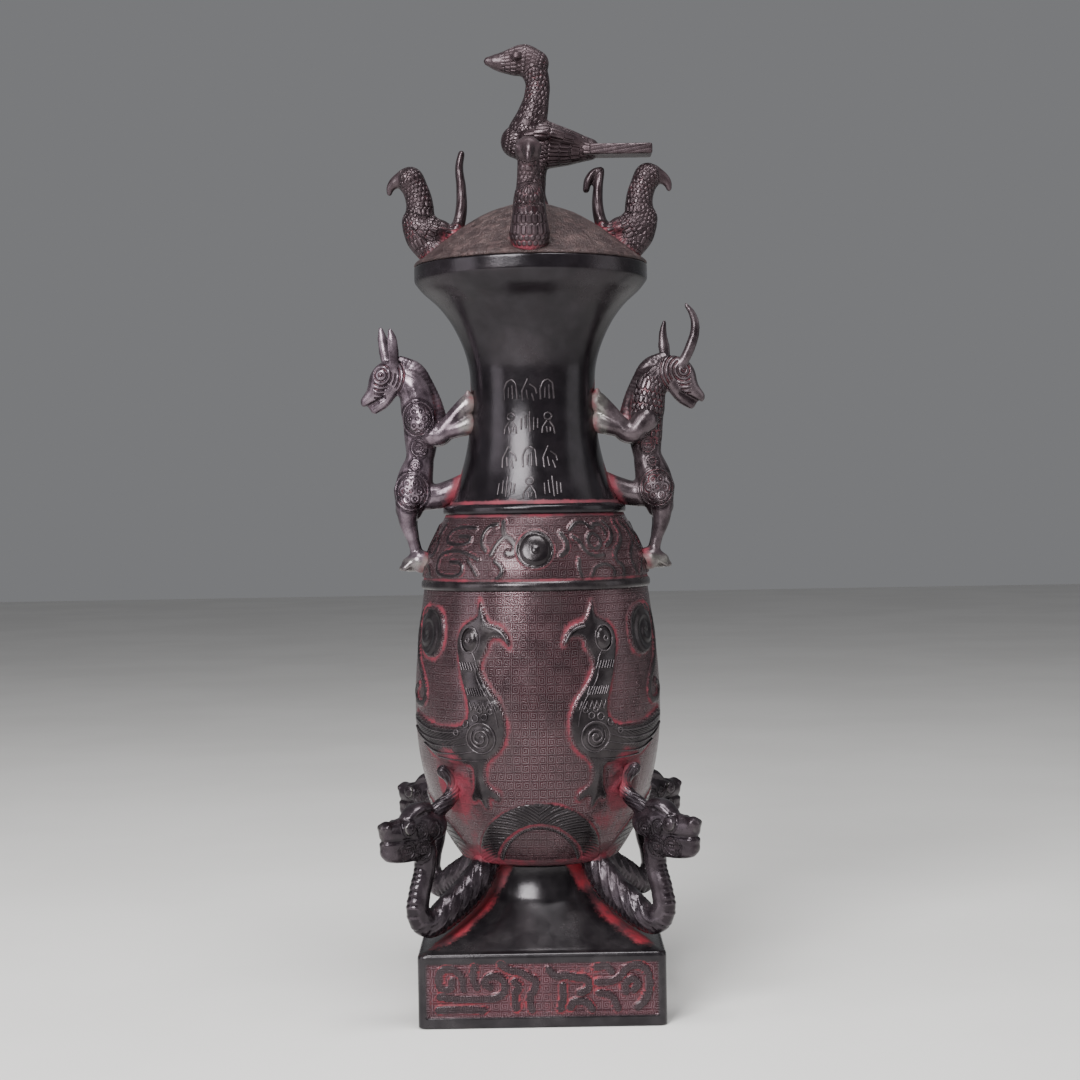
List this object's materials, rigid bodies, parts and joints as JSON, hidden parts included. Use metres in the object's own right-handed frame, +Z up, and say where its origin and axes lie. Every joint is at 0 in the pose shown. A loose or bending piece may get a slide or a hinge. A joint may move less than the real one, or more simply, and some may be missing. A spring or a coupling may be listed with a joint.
{
  "type": "lidded bronze vase",
  "caption": "Tall lidded bronze vase on a hollow square plinth, with birds on the lid, climbing beasts as handles and dragons at the foot's corners.",
  "frame": {"origin": "middle of the plinth's underside", "axes": "+Z up along the vase's axis, -Y towards the front with the inscription, beasts on the X axis"},
  "size_m": [0.2187, 0.1854, 0.6048],
  "materials": {
    "near_black_bronze": "near-black polished bronze with red pigment in the recesses",
    "worn_olive_bronze": "matt worn brown-olive bronze",
    "bird_bronze": "brown-black bronze, red in the recesses",
    "beast_bronze": "dark bronze with silver-grey wear and red in the recesses",
    "dragon_bronze": "grey-black bronze, red in the recesses"
  },
  "bodies": {
    "root": {"vessel": "near_black_bronze", "lid": "worn_olive_bronze", "finial_bird": "bird_bronze", "lid_bird_front": "bird_bronze", "lid_bird_back": "bird_bronze", "lid_bird_left": "bird_bronze", "lid_bird_right": "bird_bronze", "handle_beast_left": "beast_bronze", "handle_beast_right": "beast_bronze", "corner_dragon_front_left": "dragon_bronze", "corner_dragon_front_right": "dragon_bronze", "corner_dragon_back_left": "dragon_bronze", "corner_dragon_back_right": "dragon_bronze"}
  },
  "joints": []
}
